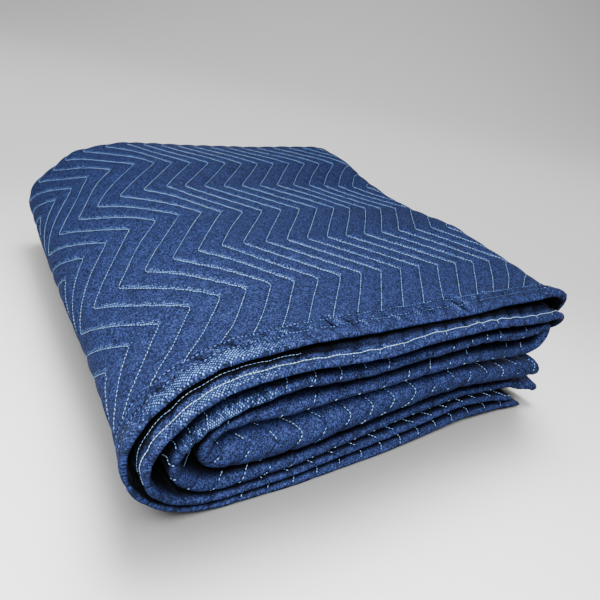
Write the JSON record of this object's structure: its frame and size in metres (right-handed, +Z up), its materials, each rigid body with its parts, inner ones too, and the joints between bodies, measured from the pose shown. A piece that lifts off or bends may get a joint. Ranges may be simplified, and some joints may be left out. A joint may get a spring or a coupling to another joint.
{
  "type": "moving blanket",
  "caption": "Thick quilted moving blanket with a chevron quilting repeat, folded in quarters along its length and again across into a low soft stack that lies flat.",
  "frame": {"origin": "centre of the bounding box at the surface that the folded blanket rests on", "axes": "+X along the front edge from the rounded bend to the free ends, +Y from the open front edges to the creases at the back, +Z up"},
  "size_m": [0.4855, 0.5361, 0.154],
  "materials": {
    "quilted_cotton": "dull woven cotton and polyester skins over batting, dark denim blue, quilted in pale thread"
  },
  "bodies": {
    "root": {"quilted_blanket": "quilted_cotton"}
  },
  "joints": []
}
